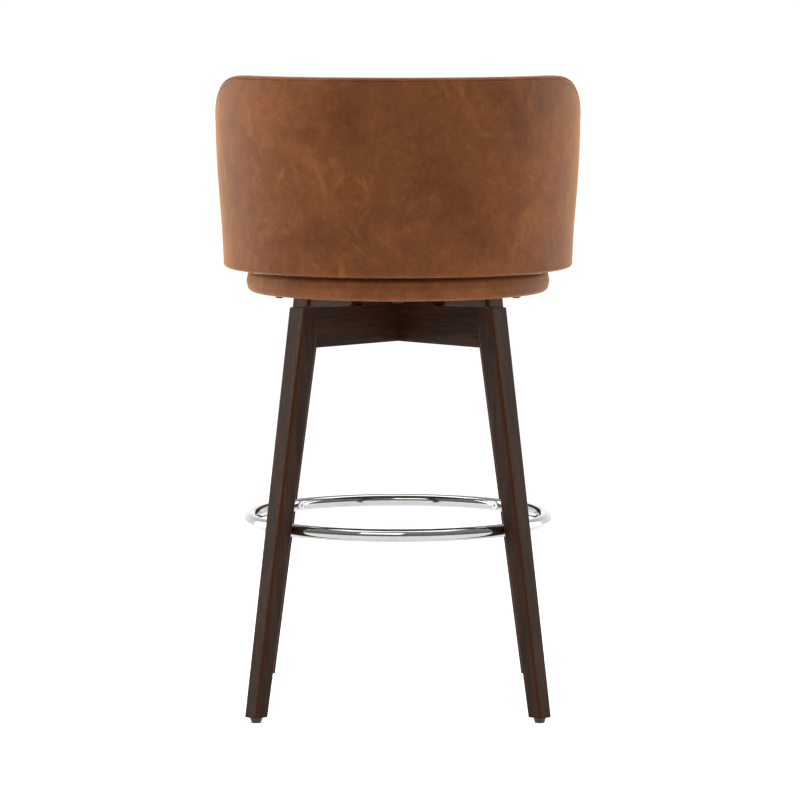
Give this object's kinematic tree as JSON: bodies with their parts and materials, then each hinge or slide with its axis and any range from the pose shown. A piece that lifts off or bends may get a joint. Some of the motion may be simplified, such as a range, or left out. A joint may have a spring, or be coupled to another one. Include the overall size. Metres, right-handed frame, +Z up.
{
  "type": "bar stool",
  "caption": "Swivel bar stool with a leather barrel back, round cushioned seat, splayed square timber legs, crossed rails and a chromed ring footrest.",
  "frame": {"origin": "on the floor, on the swivel axis, midway between the four legs", "axes": "+Z up, -Y towards the front of the seat (the way a sitter faces), +X to the sitter's left"},
  "size_m": [0.6171, 0.5545, 1.067],
  "materials": {
    "dark_wood": "satin",
    "leather": "matte",
    "chrome": "polished",
    "black_steel": "satin",
    "zinc_steel": "satin",
    "brass": "satin",
    "plywood": "matte",
    "black_plastic": "matte",
    "black_cloth": "matte"
  },
  "bodies": {
    "base": {"leg_rear_right": "dark_wood", "leg_rear_left": "dark_wood", "leg_front_left": "dark_wood", "leg_front_right": "dark_wood", "glide_rear_right": "black_plastic", "glide_rear_left": "black_plastic", "glide_front_left": "black_plastic", "glide_front_right": "black_plastic", "glide_nails": "zinc_steel", "cross_rail_a": "dark_wood", "cross_rail_b": "dark_wood", "footrest_ring": "chrome", "footrest_bolts": "chrome", "footrest_inserts": "brass", "footrest_saddles": "black_plastic", "lower_swivel_plate": "black_steel", "lower_plate_screws": "zinc_steel"},
    "bearing": {"ball_cage": "zinc_steel", "swivel_balls": "zinc_steel"},
    "seat": {"upper_swivel_plate": "black_steel", "upper_plate_bolts": "zinc_steel", "seat_tee_nuts": "zinc_steel", "swivel_pivot": "zinc_steel", "seat_board": "plywood", "seat_dust_cover": "black_cloth", "seat_rim_pad": "leather", "seat_cushion": "leather", "back_frame": "plywood", "back_inner_pad": "leather", "back_outer_panel": "leather", "left_back_bracket": "black_steel", "right_back_bracket": "black_steel", "rear_back_bracket": "black_steel", "bracket_bolts": "black_steel", "bracket_screws": "zinc_steel", "back_frame_screws": "zinc_steel"}
  },
  "joints": [
    {"name": "seat_swivel", "type": "hinge", "parent": "base", "child": "seat", "pos_m": [0, 0, 0.69525], "axis": [0, 0, 1], "continuous": true},
    {"name": "bearing_roll", "type": "hinge", "parent": "base", "child": "bearing", "pos_m": [0, 0, 0.69525], "axis": [0, 0, 1], "continuous": true}
  ],
  "couplings": [
    {"joint": "bearing_roll", "follows": "seat_swivel", "ratio": 0.5}
  ]
}
